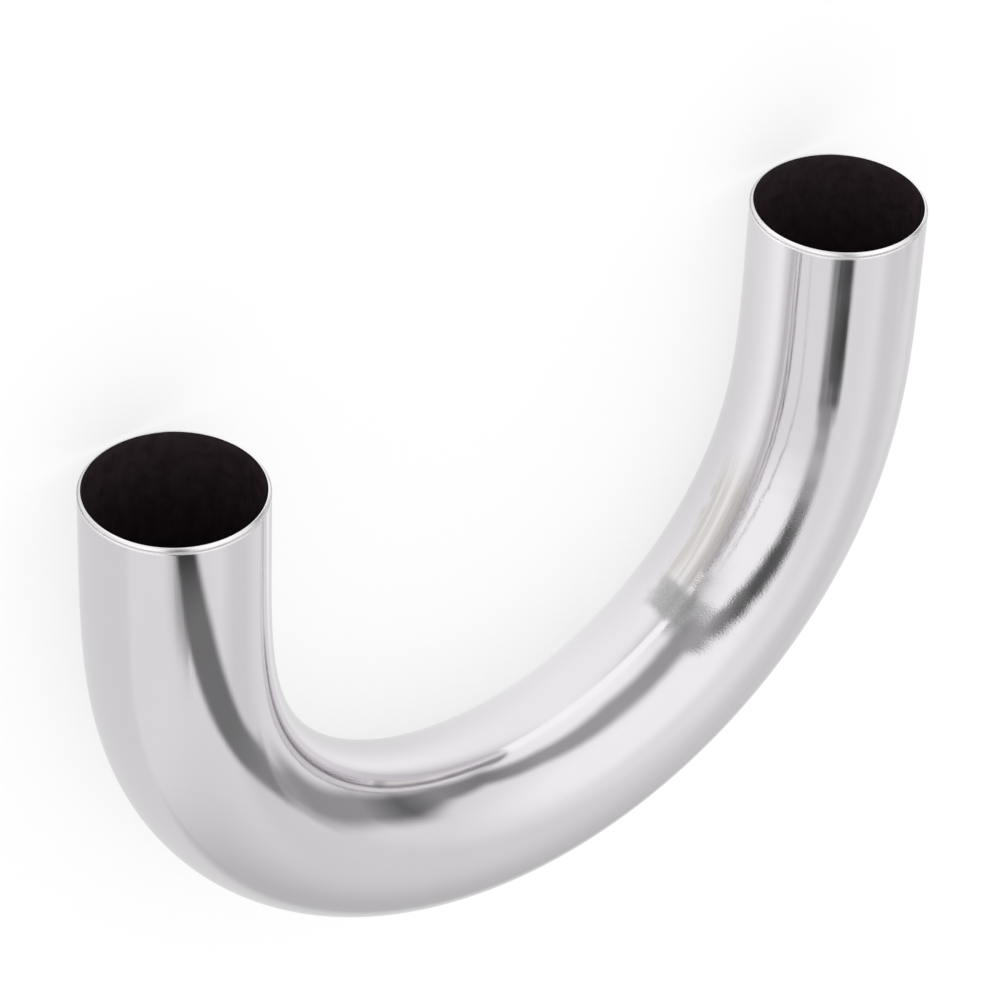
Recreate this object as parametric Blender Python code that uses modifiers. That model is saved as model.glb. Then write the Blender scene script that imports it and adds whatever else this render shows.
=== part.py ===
"""Return bend: one thin-walled stainless tube, bent through half a turn, with a short straight leg at each mouth.

The tube lies on its side and touches the floor, z = 0, along its whole length. Its legs and open mouths
face +X and the crown of the bend faces -X. The origin is on the floor, under the middle of the part.
"""

from math import atan2, degrees, hypot, radians

import bmesh
import bpy
from mathutils import Matrix, Vector

# Driving dimensions, in metres and degrees
TUBE_DIAMETER = 0.0508  # outside the tube
WALL = 0.0010  # of the straight tube
BEND_RADIUS = 0.1143  # from the bend's axis to the tube's centreline
BEND_ANGLE = 180.0
LEG_LENGTH = 0.0508  # straight tube past each end of the bend
WALL_RUN_IN = 15.0  # stretch at each end of the bend over which the wall changes, in degrees of bend
DEBURR = 0.0002  # width broken off the edges of the sawn mouths

# Fineness of the facets
SECTION_SIDES = 48
BEND_STEPS = 36
DEBURR_STEPS = 2

# Finish of the polished steel
STEEL_COLOUR = (0.70, 0.70, 0.71, 1.0)
STEEL_ROUGHNESS = 0.12


def clear_scene():
    """Start from an empty scene."""
    for thing in list(bpy.data.objects):
        bpy.data.objects.remove(thing, do_unlink=True)


def polished_steel():
    """Bare stainless steel, polished after bending."""
    steel = bpy.data.materials.new("polished_steel")
    steel.use_nodes = True
    shader = steel.node_tree.nodes["Principled BSDF"]
    shader.inputs["Base Color"].default_value = STEEL_COLOUR
    shader.inputs["Metallic"].default_value = 1.0
    shader.inputs["Roughness"].default_value = STEEL_ROUGHNESS
    return steel


def extend_rim(skin, rim, travel):
    """Draw the skin out from an open rim, along a straight line, and return the new rim."""
    drawn = bmesh.ops.extrude_edge_only(skin, edges=rim)["geom"]
    points = [item for item in drawn if isinstance(item, bmesh.types.BMVert)]
    bmesh.ops.translate(skin, verts=points, vec=travel)
    return [item for item in drawn if isinstance(item, bmesh.types.BMEdge) and item.is_boundary]


def tube_skin():
    """The outside surface of the tube, open at both mouths, with the bend's axis on the Z axis."""
    skin = bmesh.new()
    first_mouth = Matrix.Translation((LEG_LENGTH, BEND_RADIUS, 0.0)) @ Matrix.Rotation(radians(90), 4, "Y")
    bmesh.ops.create_circle(skin, segments=SECTION_SIDES, radius=TUBE_DIAMETER / 2, matrix=first_mouth)
    into_bend = Vector((-LEG_LENGTH, 0.0, 0.0))
    bend_start = extend_rim(skin, skin.edges[:], into_bend)
    bend = bmesh.ops.spin(
        skin, geom=bend_start, cent=(0.0, 0.0, 0.0), axis=(0.0, 0.0, 1.0),
        angle=radians(BEND_ANGLE), steps=BEND_STEPS,
    )
    bend_end = [item for item in bend["geom_last"] if isinstance(item, bmesh.types.BMEdge)]
    out_of_bend = Matrix.Rotation(radians(BEND_ANGLE), 3, "Z") @ into_bend
    extend_rim(skin, bend_end, out_of_bend)
    bmesh.ops.recalc_face_normals(skin, faces=skin.faces[:])
    return skin


def bend_share(point):
    """How fully bent the tube is at a point: 0 on the legs, rising smoothly to 1 inside the bend."""
    angle = degrees(atan2(-point.x, point.y)) % 360.0
    inside = min(angle, BEND_ANGLE - angle)
    share = min(max(inside / WALL_RUN_IN, 0.0), 1.0)
    return share * share * (3.0 - 2.0 * share)


def wall_at(point):
    """Wall under a point of the skin: the outside of the bend stretches thin, the inside gathers thick."""
    stretch = hypot(point.x, point.y) / BEND_RADIUS
    return WALL * (1.0 + bend_share(point) * (1.0 / stretch - 1.0))


def add_wall(tube):
    """Thicken the skin inwards, by the wall that bending leaves at each point."""
    walls = [wall_at(vertex.co) for vertex in tube.data.vertices]
    thickest = max(walls)
    share_of_thickest = tube.vertex_groups.new(name="share_of_thickest_wall")
    for vertex, wall in zip(tube.data.vertices, walls):
        share_of_thickest.add([vertex.index], wall / thickest, "REPLACE")
    solidify = tube.modifiers.new("wall", "SOLIDIFY")
    solidify.thickness = thickest
    solidify.offset = -1.0
    solidify.vertex_group = share_of_thickest.name


def deburr_mouths(tube):
    """Break the sharp edges that the saw leaves round both mouths."""
    bevel = tube.modifiers.new("deburr", "BEVEL")
    bevel.width = DEBURR
    bevel.segments = DEBURR_STEPS
    bevel.limit_method = "ANGLE"
    bevel.angle_limit = radians(45)
    normals = tube.modifiers.new("smooth_beside_rims", "WEIGHTED_NORMAL")
    normals.keep_sharp = True


def lay_on_floor(tube):
    """Move the tube so that the origin is on the floor, under the middle of the part."""
    xs, ys, zs = zip(*(vertex.co for vertex in tube.data.vertices))
    tube.location = (-(min(xs) + max(xs)) / 2, -(min(ys) + max(ys)) / 2, -min(zs))


def return_bend():
    """The whole part, as one solid."""
    mesh = bpy.data.meshes.new("return_bend")
    skin = tube_skin()
    skin.to_mesh(mesh)
    skin.free()
    mesh.materials.append(polished_steel())
    mesh.shade_smooth()
    tube = bpy.data.objects.new("return_bend", mesh)
    add_wall(tube)
    deburr_mouths(tube)
    lay_on_floor(tube)
    return tube


def main():
    clear_scene()
    collection = bpy.data.collections.new("return_bend")
    bpy.context.scene.collection.children.link(collection)
    collection.objects.link(return_bend())


main()
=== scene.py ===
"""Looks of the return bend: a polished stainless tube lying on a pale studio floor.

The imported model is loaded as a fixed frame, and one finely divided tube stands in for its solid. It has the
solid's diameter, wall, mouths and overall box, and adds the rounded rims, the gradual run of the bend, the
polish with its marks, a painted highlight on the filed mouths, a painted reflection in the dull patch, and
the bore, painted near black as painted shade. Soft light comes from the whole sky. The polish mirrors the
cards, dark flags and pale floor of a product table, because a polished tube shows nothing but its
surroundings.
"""

from math import cos, degrees, pi, radians, sin

import bpy
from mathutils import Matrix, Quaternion, Vector


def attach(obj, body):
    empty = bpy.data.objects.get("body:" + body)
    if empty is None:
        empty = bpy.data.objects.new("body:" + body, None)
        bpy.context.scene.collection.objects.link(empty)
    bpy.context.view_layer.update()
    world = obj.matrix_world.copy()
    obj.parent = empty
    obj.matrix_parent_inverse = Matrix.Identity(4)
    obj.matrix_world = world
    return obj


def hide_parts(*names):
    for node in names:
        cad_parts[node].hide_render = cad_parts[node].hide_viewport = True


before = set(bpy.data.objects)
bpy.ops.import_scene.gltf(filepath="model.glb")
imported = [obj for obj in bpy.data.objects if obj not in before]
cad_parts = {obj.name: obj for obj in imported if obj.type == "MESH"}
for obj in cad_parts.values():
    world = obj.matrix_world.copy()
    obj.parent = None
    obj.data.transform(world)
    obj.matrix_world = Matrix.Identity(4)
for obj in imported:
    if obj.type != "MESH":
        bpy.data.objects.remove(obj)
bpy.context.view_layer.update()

# Sizes are in metres, and angles in degrees

# Tube
TUBE_RADIUS = 0.0254
WALL = 0.0010  # of the straight tube
LEG_OFFSET = 0.1143  # from the middle of the part to the centreline of each leg
MOUTH_PLANE = 0.09525  # where both mouths are, along X
STRAIGHT = 0.01414  # tube at each mouth that the bender leaves quite straight
RUN_IN = 0.0760  # tube over which the bend then tightens to its full curve
BEND_RADIUS = 0.113025  # at full curve, to the centreline, which brings the far leg out where it belongs
TUBE_LENGTH = pi * BEND_RADIUS + 2 * STRAIGHT + RUN_IN

# Mouths
ROUNDING_LENGTH = 0.0019  # along the tube, of the edge that polishing has rounded over
ROUNDING_DEPTH = 0.0007  # of the same edge, into the wall
FLATNESS = 1.5  # of the same edge, from 1 for an even rounding to 2 for a flat bevel
DEBURR = 0.0002  # broken off the inner edge

# Faint ripples that bending leaves along the inside of the bend, on the half by the far leg
RIPPLE_DEPTH = 0.00003  # on average, where the tube faces the inside most directly
LONG_RIPPLE = 0.0165  # from crest to crest, along the tube
SHORT_RIPPLE = 0.0093
RIPPLE_START = 0.24  # along the tube from the near mouth
RIPPLE_RUN_IN = 0.06

# Fineness of the mesh
SIDES = 144
RINGS = 480
BORE_RING_STEP = 4  # the dark bore needs only every fourth ring
ROUNDING_STEPS = 8
DEBURR_STEPS = 3

# Patterns in the surfaces: how many grains each has to the metre, and how much fine detail
CLOUDS = 40.0  # slow drift of the steel's colour and haze
GRIT = 1500.0
BELT_LINES = (60.0, 4200.0, 4200.0)  # along the tube and twice across it, as the polishing belt runs
STREAK_LINES = (25.0, 900.0, 900.0)
WANDERING = 220.0  # of the outlines of the marks
BORE_GRAIN = 300.0
USUAL_DETAIL = 2.0
BELT_DETAIL = 3.0
BORE_DETAIL = 4.0

# Contrast of these patterns: the values of each between which its effect goes from least to full
CLOUD_CONTRAST = (0.35, 0.7)
GRIT_CONTRAST = (0.2, 0.6)
BELT_CONTRAST = (0.3, 0.7)
STREAK_CONTRAST = (0.35, 0.65)
BORE_CONTRAST = (0.3, 0.7)

# Polished steel
DARKER_STEEL = (0.79, 0.765, 0.78, 1.0)
LIGHTER_STEEL = (0.81, 0.79, 0.825, 1.0)
HAZE = (0.05, 0.09)  # least and greatest roughness between the belt's lines
BELT_ROUGHNESS = 0.03  # that those lines add at most
BELT_DEPTH = 0.0001
BELT_BUMP = 0.05  # share of that depth that shows
EDGE_HIGHLIGHT_COLOUR = (1.0, 0.985, 0.99, 1.0)  # of both mouths, where they are filed: near white, a painted highlight
EDGE_FADE = (0.8 * ROUNDING_LENGTH, 1.2 * ROUNDING_LENGTH)  # from the mouth, where the polish takes over
DULL_ROUGHNESS = 0.30  # of the filed edges, and of the dull patch below

# Marks of hand polishing: ranges along the tube and up from its middle, and softness of ends and sides.
# The patch is rougher, and its darker colour is a painted reflection.
PATCH_ALONG = (0.307, 0.320)
PATCH_UP = (-0.001, 0.0130)
PATCH_SOFTNESS = (0.0023, 0.0034)
PATCH_STRENGTH = 0.80
PATCH_GRAIN = (0.75, 1.0)  # share of that strength that its colour has, between the grit and on it
# painted reflection: the patch's darker colour stands in for a dark reflection on the steel
PATCH_REFLECTION_COLOUR = (0.37, 0.375, 0.37, 1.0)
STREAKS_ALONG = (0.316, 0.370)
STREAKS_UP = (-0.0025, 0.0105)
STREAKS_SOFTNESS = (0.013, 0.0016)
STREAKS_GRAIN = (0.25, 1.0)  # strength between the streaks and on them
STREAKS_COLOUR = (0.64, 0.61, 0.59, 1.0)
SCUFFS_ALONG = (0.300, 0.375)
SCUFFS_SOFTNESS = 0.012
SCUFF_DEPTH = 0.000045
SCUFF_BUMP = 0.5  # share of that depth that shows
MARKS_WANDER = 0.004  # most that the outline of the patch or the streaks wanders
MARKS_FADE = (-0.008, -0.003)  # outwards from the tube's middle, where both fade away

# Unpolished bore, painted near black: painted shade of the tube's inside
DARKER_BORE_SHADE = (0.022, 0.013, 0.017, 1.0)
LIGHTER_BORE_SHADE = (0.046, 0.028, 0.036, 1.0)
BORE_ROUGHNESS = (0.5, 0.7)
BORE_DEPTH = 0.0002  # of its grain
BORE_BUMP = 0.3  # share of that depth that shows

# Camera
CAMERA_AIM = Vector((0.0412, 0.0046, 0.0250))
CAMERA_DISTANCE = 1.3065
CAMERA_AZIMUTH = 38.60  # from +X towards +Y
CAMERA_ELEVATION = 37.38
CAMERA_ROLL = 129.89
CAMERA_LENS = 168.7  # millimetres

# Light and floor
EVEN_LIGHT = 0.85
WHITE = (1.0, 1.0, 1.0, 1.0)
FLOOR_SIZE = 12.0
FLOOR_COLOUR = (0.80, 0.80, 0.80, 1.0)
FLOOR_GLOW = 1.36  # of the floor as the camera sees it
FLOOR_GLOW_SHARE = 0.5  # the rest is its lit colour, and the two together make it white outside the shadow

# What the polish mirrors of the sky, on a flat map of it: degrees away from straight up, towards +X and +Y
SKY = 0.845
CARDS = (  # from one point of the map to another, width, softness of the edges, and light
    ((23, -13), (8, 62), 54, 16, 1.06),  # softbox overhead
    ((-12, -17), (-31, -20), 22, 9, 0.90),  # second, weaker softbox
    ((-26, -39), (-74, -40), 28, 10, 0.76),  # dimmer sky past the crown
    ((-90, -30), (-93, -5), 62, 29, 0.56),  # dim far side of the room, behind the bend
    ((108, 12), (115, -60), 96, 48, 1.11),  # bright side of the room, before the mouths
    ((64, 66), (92, 95), 32, 12, 0.42),  # stand beside the table
    ((-36, 27), (-36, 34), 8.5, 4, 0.16),  # beside the dark end of the flags
)
FLAGS = (  # a chain of dark flags round the softbox: a point of the map, width, and light let through
    (-37, 18, 9, 0.06),  # dark end, which the far leg mirrors below its mouth
    (-36.2, 27, 9.5, 0.10),
    (-33, 27, 14, 0.30),
    (-24, 27.5, 19, 0.53),  # thin cloth, where the stripe on the far leg pales
    (-7, 25, 20, 0.12),
    (7, 27, 19, 0.10),
    (35, 31, 15, 0.42),
    (51, 38, 26, 0.37),
    (61, 3, 26, 0.40),
    (60, -31, 17, 0.38),
    (51, -58, 15, 0.23),
    (30, -71, 19, 0.30),
    (10, -72, 27, 0.14),  # dark spot at the middle of the bend
    (-10, -73, 23, 0.35),
    (-32, -63, 20, 0.33),
    (-38, -55, 7, 0.38),  # meets the end of the hanging flag
)
FLAGS_SOFTNESS = 0.53  # of their edges, as a share of half their width
BEYOND_FLAGS = 100.0  # more half widths away than any place on the map

# What the polish mirrors of the floor, with places measured from the middle of the part
FLOOR_LIGHT = 0.765
POOL_START = (-0.020, -0.026)  # of the long pool of light on the floor between the legs
POOL_END = (0.130, -0.045)
POOL_LIGHT = 1.03
POOL_REACH = 0.07  # from its middle line to where it has faded away
PALER_FLOOR = (0.2, 2.0)  # away from that line, where the floor grows paler
PALER_FLOOR_BY = 0.05
DIM_HEADING = (-0.99, -0.15, 0.0)  # towards the dim floor behind the bend
DIM_SPREAD = (0.70, 0.98)  # cosines of the angles from that heading where the dimness begins and is full
DIM_DISTANCE = (0.10, 0.35)  # away from the pool's middle line, where it begins and is full
DIM_LIGHT = 0.56
BRIGHT_FLOOR = (0.08, 0.13)  # along X, where the floor grows bright before the mouths
BRIGHT_LIGHT = 1.14

# Dark flag that hangs over the near leg, seen from above as a curved strip
FLAG_CENTRE = Vector((0.189, -0.095, 0.090))  # that the strip curves about
FLAG_SHAPE = (  # angle from +X towards +Y, radius, and half the width there
    (108.0, 0.273, 0.0205),  # out past the near mouth
    (126.0, 0.273, 0.0205),
    (140.0, 0.273, 0.0128),
    (150.0, 0.270, 0.0085),
    (157.0, 0.266, 0.0060),  # over the near end of the bend
)
FLAG_TILT = 11.0  # its outer edge is higher, so that the far leg sees it edge on
FLAG_STEPS = 8  # to each length of it

# Cloth of that flag, with places as shares of its length from the mouth end, or of its half width
SOFT_SIDES = (0.55, 1.0)
SOFT_END = (0.86, 1.0)
DARK_CLOTH = 0.005  # light at the mouth end
GREY_CLOTH = 0.19  # light further on
GREYING = (0.17, 0.34)  # where it changes from dark to grey
PALER_CLOTH_BY = 0.10
PALING = (0.5, 1.0)  # where it grows that much paler


def curvature_share(travel):
    """Share of the full curve that the tube has after some length of it: 0 at the mouths, 1 in the bend."""
    into_run = (min(travel, TUBE_LENGTH - travel) - STRAIGHT) / RUN_IN
    share = min(max(into_run, 0.0), 1.0)
    return share * share * (3.0 - 2.0 * share)


def centreline():
    """Even steps along the tube from the near mouth: the length so far, the place, and the angle turned."""
    step = TUBE_LENGTH / RINGS
    place = Vector((MOUTH_PLANE, LEG_OFFSET, TUBE_RADIUS))
    turned = 0.0
    stations = [(0.0, place, turned)]
    for number in range(RINGS):
        turn = curvature_share((number + 0.5) * step) * step / BEND_RADIUS
        onward = turned + turn / 2
        place = place - Vector((cos(onward), sin(onward), 0.0)) * step
        turned += turn
        stations.append(((number + 1) * step, place, turned))
    return stations


def wall_at(travel, angle):
    """The wall, thin along the outside of the bend and thick along the inside."""
    stretch = 1.0 + TUBE_RADIUS * cos(angle) / BEND_RADIUS
    return WALL * (1.0 + curvature_share(travel) * (1.0 / stretch - 1.0))


def ripple(travel, angle):
    """How deep the ripples dip, on the side of the tube that faces the inside of the bend."""
    waves = sin(2 * pi * travel / LONG_RIPPLE) + sin(2 * pi * travel / SHORT_RIPPLE + 2 * angle)
    inner_side = max(-cos(angle), 0.0)
    far_half = min(max((travel - RIPPLE_START) / RIPPLE_RUN_IN, 0.0), 1.0)
    return RIPPLE_DEPTH * (1.0 + waves / 2) * inner_side * curvature_share(travel) * far_half


def rim_profile():
    """Points across a rim, from the outer skin to the bore: how far in from the mouth, and how deep."""
    profile = []
    for step in range(1, ROUNDING_STEPS + 1):
        angle = pi / 2 * step / ROUNDING_STEPS
        inset = ROUNDING_LENGTH * (1 - sin(angle) ** FLATNESS)
        depth = ROUNDING_DEPTH * (1 - abs(cos(angle)) ** FLATNESS)
        profile.append((inset, depth))
    for step in range(DEBURR_STEPS + 1):
        angle = pi / 2 * step / DEBURR_STEPS
        profile.append((DEBURR * (1 - cos(angle)), WALL - DEBURR * (1 - sin(angle))))
    return profile


def tube_rings():
    """Rings of the closed skin, from the near rim along the bore to the far rim and back along the outside.

    Each is a length of tube, a place, an angle turned, and a depth under the outside, or None in the bore.
    """
    stations = centreline()
    _, near_mouth, near_turn = stations[0]
    _, far_mouth, far_turn = stations[-1]
    inwards = Vector((-1.0, 0.0, 0.0))
    near_rim = []
    far_rim = []
    for inset, depth in rim_profile():
        near_rim.append((inset, near_mouth + inwards * inset, near_turn, depth))
        far_rim.append((TUBE_LENGTH - inset, far_mouth + inwards * inset, far_turn, depth))
    far_rim.reverse()
    bore = [(*station, None) for station in stations[BORE_RING_STEP:-BORE_RING_STEP:BORE_RING_STEP]]
    outside = [(*station, 0.0) for station in reversed(stations[1:-1])]
    return near_rim, bore, far_rim, outside


def section(travel, place, turned, depth):
    """One ring of points, and where the same points lay before the tube was bent."""
    outward = Vector((-sin(turned), cos(turned), 0.0))
    points = []
    unbent = []
    for side in range(SIDES):
        angle = 2 * pi * side / SIDES
        inset = wall_at(travel, angle) if depth is None else depth + ripple(travel, angle)
        across = outward * cos(angle) + Vector((0.0, 0.0, sin(angle)))
        points.append(place + across * (TUBE_RADIUS - inset))
        unbent += (travel, TUBE_RADIUS * cos(angle), TUBE_RADIUS * sin(angle))
    return points, unbent


def ring_faces(ring, next_ring):
    """The faces between two rings of points."""
    here = ring * SIDES
    there = next_ring * SIDES
    faces = []
    for side in range(SIDES):
        beside = (side + 1) % SIDES
        faces.append((here + side, here + beside, there + beside, there + side))
    return faces


def tube():
    """The whole tube, with where each point lay before bending kept for the polish."""
    near_rim, bore, far_rim, outside = tube_rings()
    rings = near_rim + bore + far_rim + outside
    bore_start = len(near_rim) - 1
    bore_end = len(near_rim) + len(bore)
    points = []
    unbent = []
    faces = []
    in_bore = []
    for number, ring in enumerate(rings):
        ring_points, ring_unbent = section(*ring)
        points += ring_points
        unbent += ring_unbent
        faces += ring_faces(number, (number + 1) % len(rings))
        in_bore += [int(bore_start <= number < bore_end)] * SIDES
    mesh = bpy.data.meshes.new("tube")
    mesh.from_pydata(points, [], faces)
    mesh.attributes.new("unbent", "FLOAT_VECTOR", "POINT").data.foreach_set("vector", unbent)
    mesh.materials.append(polished_steel())
    mesh.materials.append(bore_painted_shade())
    mesh.polygons.foreach_set("material_index", in_bore)
    mesh.shade_smooth()
    piece = bpy.data.objects.new("tube", mesh)
    bpy.context.scene.collection.objects.link(piece)
    return piece


def principled(name):
    """A new material, and its shader."""
    material = bpy.data.materials.new(name)
    material.use_nodes = True
    return material, material.node_tree.nodes["Principled BSDF"]


def node(tree, kind, **settings):
    """A new shader node, with some of its settings."""
    made = tree.nodes.new("ShaderNode" + kind)
    for setting, value in settings.items():
        setattr(made, setting, value)
    return made


def put(tree, value, socket):
    """Give a node's input a plain value, or link another node's output to it."""
    if isinstance(value, bpy.types.NodeSocket):
        tree.links.new(value, socket)
    else:
        socket.default_value = value


def feed(tree, made, **inputs):
    """Fill a node's inputs by name, with an underscore for each space in it."""
    for name, value in inputs.items():
        put(tree, value, made.inputs[name.replace("_", " ")])
    return made


def calculate(tree, operation, *values, clamp=False):
    """One step of arithmetic on numbers."""
    made = node(tree, "Math", operation=operation, use_clamp=clamp)
    for socket, value in zip(made.inputs, values):
        put(tree, value, socket)
    return made.outputs["Value"]


def calculate_vector(tree, operation, *values):
    """One step of arithmetic on vectors, which gives a vector or a number."""
    made = node(tree, "VectorMath", operation=operation)
    in_use = [socket for socket in made.inputs if socket.enabled]
    for socket, value in zip(in_use, values):
        put(tree, value, socket)
    return next(socket for socket in made.outputs if socket.enabled)


def split(tree, vector):
    """The X, Y and Z of a vector."""
    return feed(tree, node(tree, "SeparateXYZ"), Vector=vector).outputs[:]


def ramp(tree, value, start, end, low=0.0, high=1.0):
    """A smooth change from low to high as a value goes from start to end."""
    made = node(tree, "MapRange", interpolation_type="SMOOTHSTEP")
    inputs = {"Value": value, "From_Min": start, "From_Max": end, "To_Min": low, "To_Max": high}
    return feed(tree, made, **inputs).outputs["Result"]


def within(tree, value, start, end, soft):
    """1 between two values, falling softly to 0 beyond them."""
    entering = ramp(tree, value, start - soft, start + soft)
    leaving = ramp(tree, value, end - soft, end + soft, 1.0, 0.0)
    return calculate(tree, "MULTIPLY", entering, leaving)


def blend(tree, share, first, second):
    """A number that goes from one value to another."""
    mixed = node(tree, "Mix", data_type="FLOAT")
    return feed(tree, mixed, Factor=share, A=first, B=second).outputs["Result"]


def tint(tree, share, first, second):
    """A colour that goes from one to another."""
    mixed = node(tree, "Mix", data_type="RGBA")
    return feed(tree, mixed, Factor=share, A=first, B=second).outputs["Result"]


def noise(tree, place, scale, detail=USUAL_DETAIL):
    """A cloudy pattern between 0 and 1."""
    made = feed(tree, node(tree, "TexNoise"), Vector=place, Scale=scale, Detail=detail)
    return made.outputs["Fac"]


def drawn_noise(tree, place, scales, detail=USUAL_DETAIL):
    """A cloudy pattern drawn out into lines, by a scale of its own in each direction."""
    drawn = feed(tree, node(tree, "Mapping"), Vector=place, Scale=scales)
    return noise(tree, drawn.outputs["Vector"], 1.0, detail)


def mark(tree, unbent, along, up, softness):
    """Where a mark is, on the side of the tube that faces the inside of the bend."""
    soft_ends, soft_sides = softness
    drift = feed(tree, node(tree, "TexNoise"), Vector=unbent, Scale=WANDERING, Detail=USUAL_DETAIL)
    wander = (MARKS_WANDER, MARKS_WANDER, MARKS_WANDER)
    uneven = calculate_vector(tree, "MULTIPLY_ADD", drift.outputs["Color"], wander, unbent)
    travel, outward, height = split(tree, uneven)
    area = calculate(
        tree, "MULTIPLY", within(tree, travel, *along, soft_ends), within(tree, height, *up, soft_sides)
    )
    return calculate(tree, "MULTIPLY", area, ramp(tree, outward, *MARKS_FADE, 1.0, 0.0))


def dull_patch_and_reflection(tree, unbent):
    """Where the dull patch on the inside of the bend is, and how strong: it is rougher, and its darker colour
    is a painted reflection.
    """
    area = mark(tree, unbent, PATCH_ALONG, PATCH_UP, PATCH_SOFTNESS)
    return calculate(tree, "MULTIPLY", area, PATCH_STRENGTH)


def streaks(tree, unbent):
    """Where streaks run along the tube beyond the dull patch."""
    area = mark(tree, unbent, STREAKS_ALONG, STREAKS_UP, STREAKS_SOFTNESS)
    lines = drawn_noise(tree, unbent, STREAK_LINES)
    return calculate(tree, "MULTIPLY", area, ramp(tree, lines, *STREAK_CONTRAST, *STREAKS_GRAIN))


def scuffs(tree, unbent, grit):
    """Short scuffs, all round the tube as the bend runs into the far leg."""
    travel, _, _ = split(tree, unbent)
    area = within(tree, travel, *SCUFFS_ALONG, SCUFFS_SOFTNESS)
    return calculate(tree, "MULTIPLY", area, grit)


def filed_edge_and_highlight(tree, unbent):
    """Where the steel is brighter, as a painted highlight, and less smooth, as filed after the polishing: the
    edges of both mouths.
    """
    travel, _, _ = split(tree, unbent)
    from_far_mouth = calculate(tree, "SUBTRACT", TUBE_LENGTH, travel)
    from_mouth = calculate(tree, "MINIMUM", travel, from_far_mouth)
    return ramp(tree, from_mouth, *EDGE_FADE, 1.0, 0.0)


def polished_steel():
    """Mirror-polished stainless steel, with the fine lines of a polishing belt run along the tube."""
    material, shader = principled("polished_steel")
    tree = material.node_tree
    unbent = node(tree, "Attribute", attribute_name="unbent").outputs["Vector"]
    lines = drawn_noise(tree, unbent, BELT_LINES, BELT_DETAIL)
    clouds = noise(tree, unbent, CLOUDS)
    grit = noise(tree, unbent, GRIT)
    edge = filed_edge_and_highlight(tree, unbent)
    patch = dull_patch_and_reflection(tree, unbent)
    grainy_patch_reflection = calculate(tree, "MULTIPLY", patch, ramp(tree, grit, *GRIT_CONTRAST, *PATCH_GRAIN))

    colour = tint(tree, clouds, DARKER_STEEL, LIGHTER_STEEL)
    colour = tint(tree, streaks(tree, unbent), colour, STREAKS_COLOUR)
    # painted reflection: the dull patch is darkened
    colour = tint(tree, grainy_patch_reflection, colour, PATCH_REFLECTION_COLOUR)
    # painted highlight: the mouths' edges are made near white
    colour = tint(tree, edge, colour, EDGE_HIGHLIGHT_COLOUR)

    haze = ramp(tree, clouds, *CLOUD_CONTRAST, *HAZE)
    roughness = calculate(tree, "ADD", haze, ramp(tree, lines, *BELT_CONTRAST, 0.0, BELT_ROUGHNESS))
    roughness = blend(tree, patch, roughness, DULL_ROUGHNESS)
    roughness = blend(tree, edge, roughness, DULL_ROUGHNESS)

    fine = feed(tree, node(tree, "Bump"), Height=lines, Strength=BELT_BUMP, Distance=BELT_DEPTH)
    rough = feed(
        tree, node(tree, "Bump"), Height=scuffs(tree, unbent, grit), Strength=SCUFF_BUMP,
        Distance=SCUFF_DEPTH, Normal=fine.outputs["Normal"],
    )
    shader.inputs["Metallic"].default_value = 1.0
    feed(tree, shader, Base_Color=colour, Roughness=roughness, Normal=rough.outputs["Normal"])
    return material


def bore_painted_shade():
    """The inside of the tube: unpolished and uneven, painted near black with a trace of brown as painted
    shade of the hollow.
    """
    material, shader = principled("bore_painted_shade")
    tree = material.node_tree
    unbent = node(tree, "Attribute", attribute_name="unbent").outputs["Vector"]
    grain = noise(tree, unbent, BORE_GRAIN, BORE_DETAIL)
    # painted shade: the bore's near-black colour stands in for the shade inside the tube
    colour = tint(tree, grain, DARKER_BORE_SHADE, LIGHTER_BORE_SHADE)
    roughness = ramp(tree, grain, *BORE_CONTRAST, *BORE_ROUGHNESS)
    bump = feed(tree, node(tree, "Bump"), Height=grain, Strength=BORE_BUMP, Distance=BORE_DEPTH)
    feed(tree, shader, Base_Color=colour, Roughness=roughness, Normal=bump.outputs["Normal"])
    return material


def sky_map(tree):
    """Place of a direction on a flat map of the sky: degrees away from straight up, towards +X and +Y."""
    direction = node(tree, "TexCoord").outputs["Generated"]
    x, y, z = split(tree, direction)
    from_zenith = calculate(tree, "MULTIPLY", calculate(tree, "ARCCOSINE", z), degrees(1.0))
    level = feed(tree, node(tree, "CombineXYZ"), X=x, Y=y)
    heading = calculate_vector(tree, "NORMALIZE", level.outputs["Vector"])
    return calculate_vector(tree, "SCALE", heading, from_zenith)


def measure_line(tree, place, start, end):
    """Distance of a place from the line between two points, and the share of the line that it is along."""
    start = Vector((*start, 0.0))
    line = Vector((*end, 0.0)) - start
    offset = calculate_vector(tree, "SUBTRACT", place, start)
    along = calculate_vector(tree, "DOT_PRODUCT", offset, line / line.length_squared)
    share = calculate(tree, "ADD", along, 0.0, clamp=True)
    nearest = calculate_vector(tree, "SCALE", line, share)
    return calculate_vector(tree, "DISTANCE", offset, nearest), share


def card(tree, place, sky, start, end, width, soft, light):
    """Lay a soft-edged card over the sky, along a line on the sky map, and return the new sky."""
    gap, _ = measure_line(tree, place, start, end)
    cover = ramp(tree, gap, width / 2 - soft, width / 2 + soft, 1.0, 0.0)
    return blend(tree, cover, sky, light)


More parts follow.
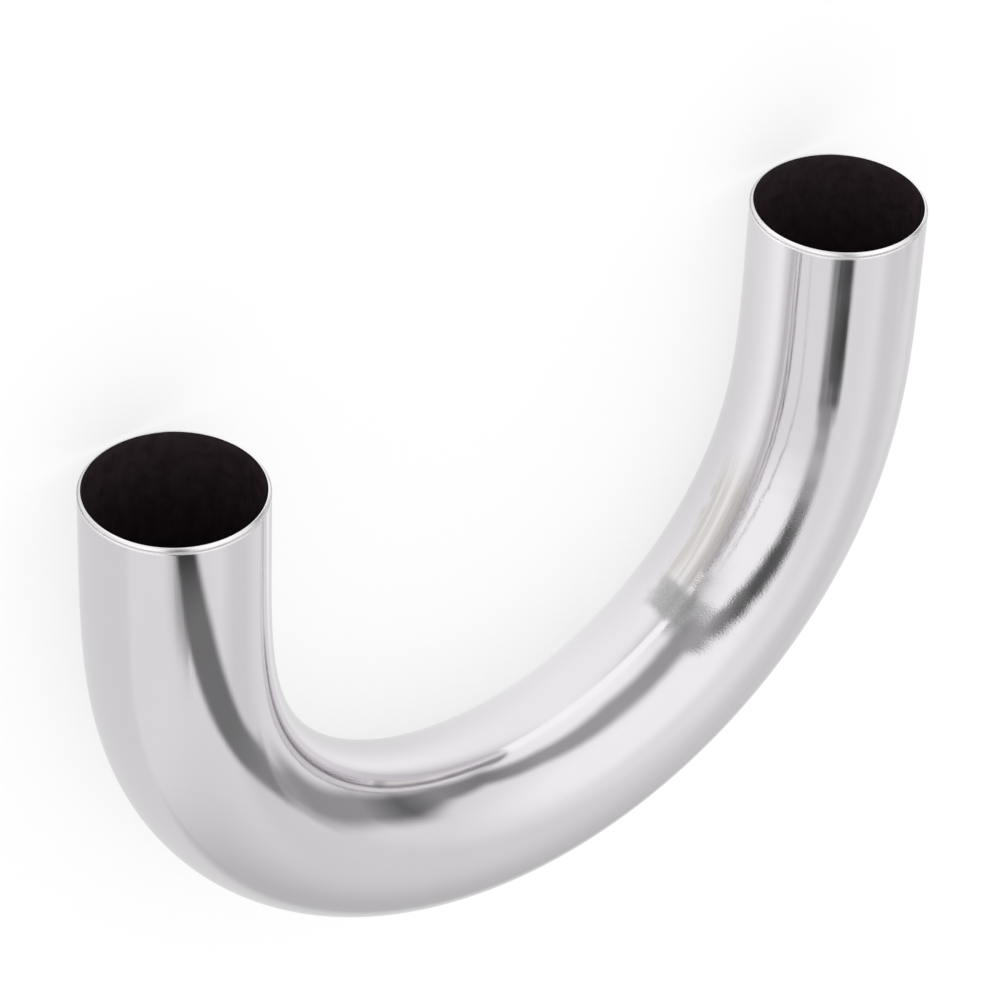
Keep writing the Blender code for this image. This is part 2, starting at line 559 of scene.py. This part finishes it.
def flags(tree, place, sky, stations, soft):
    """Lay a chain of dark flags over the sky, each running on from the last, and return the new sky.

    A station is a point on the sky map, the chain's width there, and the light that it still lets through.
    """
    nearest = BEYOND_FLAGS
    light = 1.0
    for (*start, width, first_light), (*end, next_width, next_light) in zip(stations, stations[1:]):
        gap, share = measure_line(tree, place, start, end)
        half_width = calculate(tree, "MULTIPLY_ADD", share, (next_width - width) / 2, width / 2)
        gap = calculate(tree, "DIVIDE", gap, half_width)
        own_light = calculate(tree, "MULTIPLY_ADD", share, next_light - first_light, first_light)
        light = blend(tree, calculate(tree, "LESS_THAN", gap, nearest), light, own_light)
        nearest = calculate(tree, "MINIMUM", gap, nearest)
    cover = ramp(tree, nearest, 1.0 - soft, 1.0 + soft, 1.0, 0.0)
    return blend(tree, cover, sky, light)


def sky_light(tree):
    """How bright the sky is in each direction: pale, with the cards over it and the dark flags over both."""
    place = sky_map(tree)
    sky = SKY
    for start, end, width, soft, light in CARDS:
        sky = card(tree, place, sky, start, end, width, soft, light)
    return flags(tree, place, sky, FLAGS, FLAGS_SOFTNESS)


def background(tree, strength):
    """Plain white light of some strength."""
    return feed(tree, node(tree, "Background"), Color=WHITE, Strength=strength).outputs["Background"]


def emission(tree, strength):
    """A plain white glow of some strength."""
    return feed(tree, node(tree, "Emission"), Color=WHITE, Strength=strength).outputs["Emission"]


def either(tree, share, first, second):
    """One of two shaders, or a mixture of both, by a share from 0 to 1."""
    choice = node(tree, "MixShader")
    for socket, value in zip(choice.inputs, (share, first, second)):
        put(tree, value, socket)
    return choice.outputs["Shader"]


def ray_kinds(tree):
    """Whether a ray comes from the camera, and whether it comes off the polish, both as 0 or 1."""
    path = node(tree, "LightPath").outputs
    mirrored = calculate(tree, "MAXIMUM", path["Is Glossy Ray"], path["Is Transmission Ray"])
    return path["Is Camera Ray"], mirrored


def studio_sky():
    """Even soft light, with the cards and flags in what the polish mirrors, and white past the floor."""
    world = bpy.data.worlds.new("studio_sky")
    world.use_nodes = True
    world.cycles.sampling_method = "NONE"
    tree = world.node_tree
    tree.nodes.clear()
    from_camera, mirrored = ray_kinds(tree)
    lit = either(tree, mirrored, background(tree, EVEN_LIGHT), background(tree, sky_light(tree)))
    seen = either(tree, from_camera, lit, background(tree, 1.0))
    feed(tree, node(tree, "OutputWorld"), Surface=seen)
    bpy.context.scene.world = world


def mirrored_floor(tree):
    """How bright the floor is in the polish, by place.

    A long pool of light lies between the legs. The rest is even near the tube, paler far off, dim far behind
    the bend and brightest before the mouths.
    """
    place = node(tree, "TexCoord").outputs["Object"]
    away, _ = measure_line(tree, place, POOL_START, POOL_END)
    light = ramp(tree, away, 0.0, POOL_REACH, POOL_LIGHT, FLOOR_LIGHT)
    light = calculate(tree, "ADD", light, ramp(tree, away, *PALER_FLOOR, 0.0, PALER_FLOOR_BY))
    heading = calculate_vector(tree, "NORMALIZE", place)
    behind = calculate_vector(tree, "DOT_PRODUCT", heading, DIM_HEADING)
    dim = calculate(tree, "MULTIPLY", ramp(tree, behind, *DIM_SPREAD), ramp(tree, away, *DIM_DISTANCE))
    light = blend(tree, dim, light, DIM_LIGHT)
    x, _, _ = split(tree, place)
    before_mouths = ramp(tree, x, *BRIGHT_FLOOR, 0.0, BRIGHT_LIGHT)
    return calculate(tree, "MAXIMUM", light, before_mouths)


def pale_floor():
    """The floor's surface: white where the camera sees it lit, and darker in the tube's faint shadow."""
    material, shader = principled("pale_floor")
    tree = material.node_tree
    feed(tree, shader, Base_Color=FLOOR_COLOUR, Roughness=1.0, Specular_IOR_Level=0.0)
    from_camera, mirrored = ray_kinds(tree)
    glow_share = calculate(tree, "MULTIPLY_ADD", from_camera, FLOOR_GLOW_SHARE, mirrored)
    glow = emission(tree, blend(tree, mirrored, FLOOR_GLOW, mirrored_floor(tree)))
    surface = either(tree, glow_share, shader.outputs["BSDF"], glow)
    feed(tree, tree.nodes["Material Output"], Surface=surface)
    return material


def floor():
    """A wide flat floor under the tube."""
    half = FLOOR_SIZE / 2
    corners = [(-half, -half, 0), (half, -half, 0), (half, half, 0), (-half, half, 0)]
    mesh = bpy.data.meshes.new("floor")
    mesh.from_pydata(corners, [], [(0, 1, 2, 3)])
    mesh.materials.append(pale_floor())
    piece = bpy.data.objects.new("floor", mesh)
    bpy.context.scene.collection.objects.link(piece)


def dark_cloth():
    """The hanging flag's cloth: darkest at the mouth end, and soft at its sides and at its other end."""
    material, shader = principled("dark_cloth")
    tree = material.node_tree
    tree.nodes.remove(shader)
    place = node(tree, "Attribute", attribute_name="place").outputs["Vector"]
    along, across, _ = split(tree, place)
    cover = ramp(tree, calculate(tree, "ABSOLUTE", across), *SOFT_SIDES, 1.0, 0.0)
    cover = calculate(tree, "MULTIPLY", cover, ramp(tree, along, *SOFT_END, 1.0, 0.0))
    light = ramp(tree, along, *GREYING, DARK_CLOTH, GREY_CLOTH)
    light = calculate(tree, "ADD", light, ramp(tree, along, *PALING, 0.0, PALER_CLOTH_BY))
    clear = node(tree, "BsdfTransparent").outputs["BSDF"]
    surface = either(tree, cover, clear, emission(tree, light))
    feed(tree, tree.nodes["Material Output"], Surface=surface)
    return material


def flag_row(angle, radius, half_width):
    """The inner and the outer point of the hanging flag, at one angle of its curve."""
    outward = Vector((cos(radians(angle)), sin(radians(angle)), 0.0))
    slope = outward * cos(radians(FLAG_TILT)) + Vector((0.0, 0.0, sin(radians(FLAG_TILT))))
    middle = FLAG_CENTRE + outward * radius
    return [middle - slope * half_width, middle + slope * half_width]


def hanging_flag():
    """A strip of dark cloth over the near leg, which only the polish sees, as a dark stripe on that leg."""
    lengths = len(FLAG_SHAPE) - 1
    first_angle = FLAG_SHAPE[0][0]
    last_angle = FLAG_SHAPE[-1][0]
    points = []
    places = []
    for step in range(lengths * FLAG_STEPS + 1):
        length = min(step // FLAG_STEPS, lengths - 1)
        start = Vector(FLAG_SHAPE[length])
        end = Vector(FLAG_SHAPE[length + 1])
        angle, radius, half_width = start.lerp(end, step / FLAG_STEPS - length)
        along = (angle - first_angle) / (last_angle - first_angle)
        points += flag_row(angle, radius, half_width)
        places += (along, -1.0, 0.0, along, 1.0, 0.0)
    faces = [(2 * row, 2 * row + 1, 2 * row + 3, 2 * row + 2) for row in range(lengths * FLAG_STEPS)]
    mesh = bpy.data.meshes.new("hanging_flag")
    mesh.from_pydata(points, [], faces)
    mesh.attributes.new("place", "FLOAT_VECTOR", "POINT").data.foreach_set("vector", places)
    mesh.materials.append(dark_cloth())
    flag = bpy.data.objects.new("hanging_flag", mesh)
    flag.visible_camera = False
    flag.visible_diffuse = False
    flag.visible_shadow = False
    bpy.context.scene.collection.objects.link(flag)


def camera():
    """The photograph's viewpoint, looking down on the tube."""
    flat = cos(radians(CAMERA_ELEVATION))
    azimuth = radians(CAMERA_AZIMUTH)
    backward = Vector((flat * cos(azimuth), flat * sin(azimuth), sin(radians(CAMERA_ELEVATION))))
    seen = bpy.data.cameras.new("camera")
    seen.lens = CAMERA_LENS
    holder = bpy.data.objects.new("camera", seen)
    roll = Quaternion((0.0, 0.0, 1.0), radians(CAMERA_ROLL))
    holder.rotation_mode = "QUATERNION"
    holder.rotation_quaternion = backward.to_track_quat("Z", "Y") @ roll
    holder.location = CAMERA_AIM + backward * CAMERA_DISTANCE
    bpy.context.scene.collection.objects.link(holder)
    bpy.context.scene.camera = holder


def main():
    piece = tube()
    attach(piece, "root")
    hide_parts("return_bend")
    floor()
    hanging_flag()
    studio_sky()
    camera()
    bpy.context.scene.view_settings.view_transform = "Standard"


main()
bpy.context.view_layer.update()
